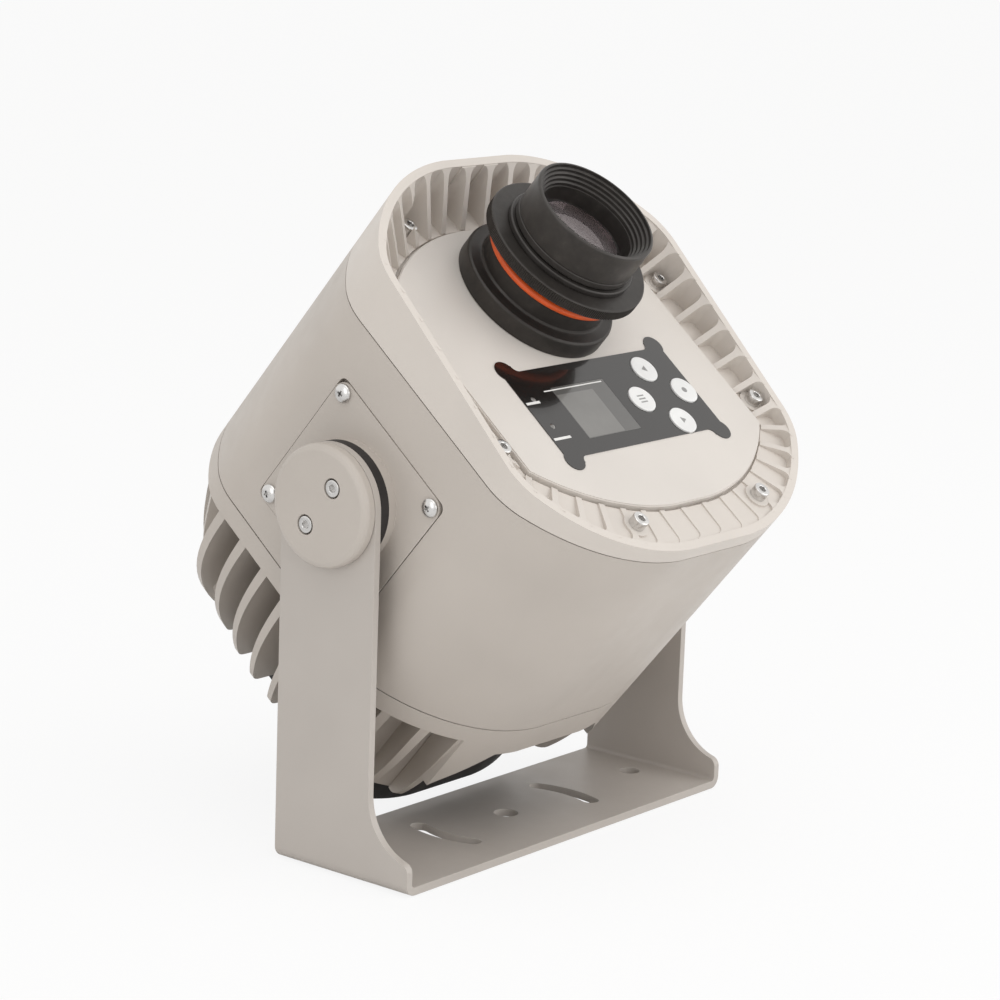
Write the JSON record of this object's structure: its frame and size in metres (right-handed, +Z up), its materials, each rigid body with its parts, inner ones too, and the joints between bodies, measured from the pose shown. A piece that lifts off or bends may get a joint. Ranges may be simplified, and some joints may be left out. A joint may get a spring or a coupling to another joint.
{
  "type": "gobo projector",
  "caption": "Outdoor gobo projector: lens and control panel on the sloping front of a finned head that tilts in a U-shaped yoke.",
  "frame": {"origin": "centre hole of the yoke's foot, on the foot's underside", "axes": "+Z up, +X across along the tilt axis, the lens faces -Y and up"},
  "size_m": [0.2682, 0.2856, 0.3391],
  "materials": {
    "yoke_paint": "satin powder coat",
    "body_paint": "satin powder coat",
    "bezel_paint": "satin powder coat",
    "black_anodised": "matt black",
    "black_rubber": "matt",
    "orange_rubber": "satin",
    "steel": "bright",
    "label": "gloss",
    "window": "gloss",
    "button": "satin",
    "black_plastic": "matt",
    "lens_glass": "polished",
    "board": "matt",
    "bare_aluminium": "machined",
    "emitter": "gloss",
    "motor": "satin"
  },
  "bodies": {
    "yoke": {"yoke_bracket": "yoke_paint"},
    "head": {"side_plate_left": "body_paint", "side_plate_right": "body_paint", "friction_washers": "black_rubber", "cap_left": "body_paint", "cap_right": "body_paint", "cap_screws": "steel", "side_plate_screws": "steel", "body_shell": "body_paint", "front_gasket": "black_rubber", "rear_gasket": "black_rubber", "front_bezel": "bezel_paint", "bezel_screws": "steel", "front_plate": "bezel_paint", "front_plate_screws": "steel", "lens_base": "black_anodised", "lens_base_screws": "steel", "o_ring": "orange_rubber", "split_collar": "black_anodised", "control_label": "label", "display_window": "window", "display_module": "board", "indicator_lights": "window", "control_board": "board", "board_screws": "steel", "heat_sink": "body_paint", "heat_sink_screws": "steel", "cowl": "black_plastic", "fan_frame": "black_plastic", "fan_guard": "steel", "fan_screws": "steel", "cable_gland": "black_plastic", "pressure_vent": "black_plastic", "optics_plate": "bare_aluminium", "optics_posts": "bare_aluminium", "optics_screws": "steel", "light_board": "bare_aluminium", "light_emitter": "emitter", "condenser_tube": "bare_aluminium", "condenser_lenses": "lens_glass", "wheel_motor": "motor", "motor_screws": "steel", "power_supply": "bare_aluminium"},
    "focus": {"focus_ring": "black_anodised"},
    "barrel": {"lens_barrel": "black_anodised", "front_lens": "lens_glass", "rear_lens": "lens_glass"},
    "button_up_body": {"button_up": "button"},
    "button_enter_body": {"button_enter": "button"},
    "button_menu_body": {"button_menu": "button"},
    "button_down_body": {"button_down": "button"},
    "fan": {"fan_rotor": "black_plastic"},
    "wheel": {"gobo_wheel": "bare_aluminium", "gobo_glasses": "lens_glass", "gobo_clips": "steel"}
  },
  "joints": [
    {"name": "tilt", "type": "hinge", "parent": "yoke", "child": "head", "pos_m": [0, 0.013, 0.182], "axis": [1, 0, 0], "range_deg": [-29, 140]},
    {"name": "focus_turn", "type": "hinge", "parent": "head", "child": "focus", "pos_m": [0, -0.02426, 0.29653], "axis": [0, -0.6374, 0.7705], "range_deg": [0, 180]},
    {"name": "focus_slide", "type": "slide", "parent": "head", "child": "barrel", "axis": [0, -0.6374, 0.7705], "range_m": [0, 0.004]},
    {"name": "button_up_press", "type": "slide", "parent": "head", "child": "button_up_body", "axis": [0, 0.6374, -0.7705], "range_m": [0, 0.0008], "stiffness_N_per_m": 1200, "springref_m": -0.0005},
    {"name": "button_enter_press", "type": "slide", "parent": "head", "child": "button_enter_body", "axis": [0, 0.6374, -0.7705], "range_m": [0, 0.0008], "stiffness_N_per_m": 1200, "springref_m": -0.0005},
    {"name": "button_menu_press", "type": "slide", "parent": "head", "child": "button_menu_body", "axis": [0, 0.6374, -0.7705], "range_m": [0, 0.0008], "stiffness_N_per_m": 1200, "springref_m": -0.0005},
    {"name": "button_down_press", "type": "slide", "parent": "head", "child": "button_down_body", "axis": [0, 0.6374, -0.7705], "range_m": [0, 0.0008], "stiffness_N_per_m": 1200, "springref_m": -0.0005},
    {"name": "fan_spin", "type": "hinge", "parent": "head", "child": "fan", "pos_m": [0, 0.08278, 0.05803], "axis": [0, -0.6374, 0.7705], "continuous": true},
    {"name": "gobo_spin", "type": "hinge", "parent": "head", "child": "wheel", "pos_m": [0, 0.00696, 0.18349], "axis": [0, -0.6374, 0.7705], "continuous": true}
  ],
  "couplings": [
    {"joint": "focus_turn", "follows": "focus_slide", "rad_per_m": 785.39}
  ]
}
